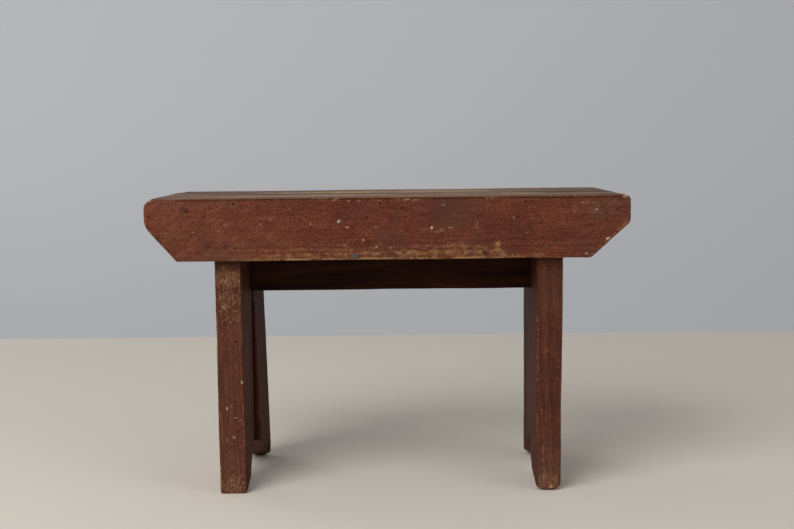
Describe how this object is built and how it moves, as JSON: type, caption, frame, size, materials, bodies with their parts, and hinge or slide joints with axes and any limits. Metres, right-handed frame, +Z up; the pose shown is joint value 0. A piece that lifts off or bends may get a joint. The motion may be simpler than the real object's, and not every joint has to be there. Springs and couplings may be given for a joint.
{
  "type": "wooden stool",
  "caption": "Low painted wooden stool: board seat between aprons with clipped corners, plank legs with V-cut feet and a rail under the seat.",
  "frame": {"origin": "on the floor, under the middle of the seat", "axes": "+X along the seat, +Y from the front apron to the rear apron, +Z up"},
  "size_m": [0.45, 0.186, 0.285],
  "materials": {
    "painted_wood": "old red-brown paint on pine, dull, worn through at the edges",
    "worn_seat_wood": "paint worn off to grey-brown bare pine, dull",
    "iron_nail": "dark rusty iron"
  },
  "bodies": {
    "root": {"seat_board": "worn_seat_wood", "front_apron": "painted_wood", "rear_apron": "painted_wood", "left_leg_front": "painted_wood", "left_leg_rear": "painted_wood", "right_leg": "painted_wood", "centre_rail": "painted_wood", "front_apron_nails": "iron_nail", "rear_apron_nails": "iron_nail", "seat_nails": "iron_nail", "left_leg_nails": "iron_nail", "right_leg_nails": "iron_nail"}
  },
  "joints": []
}
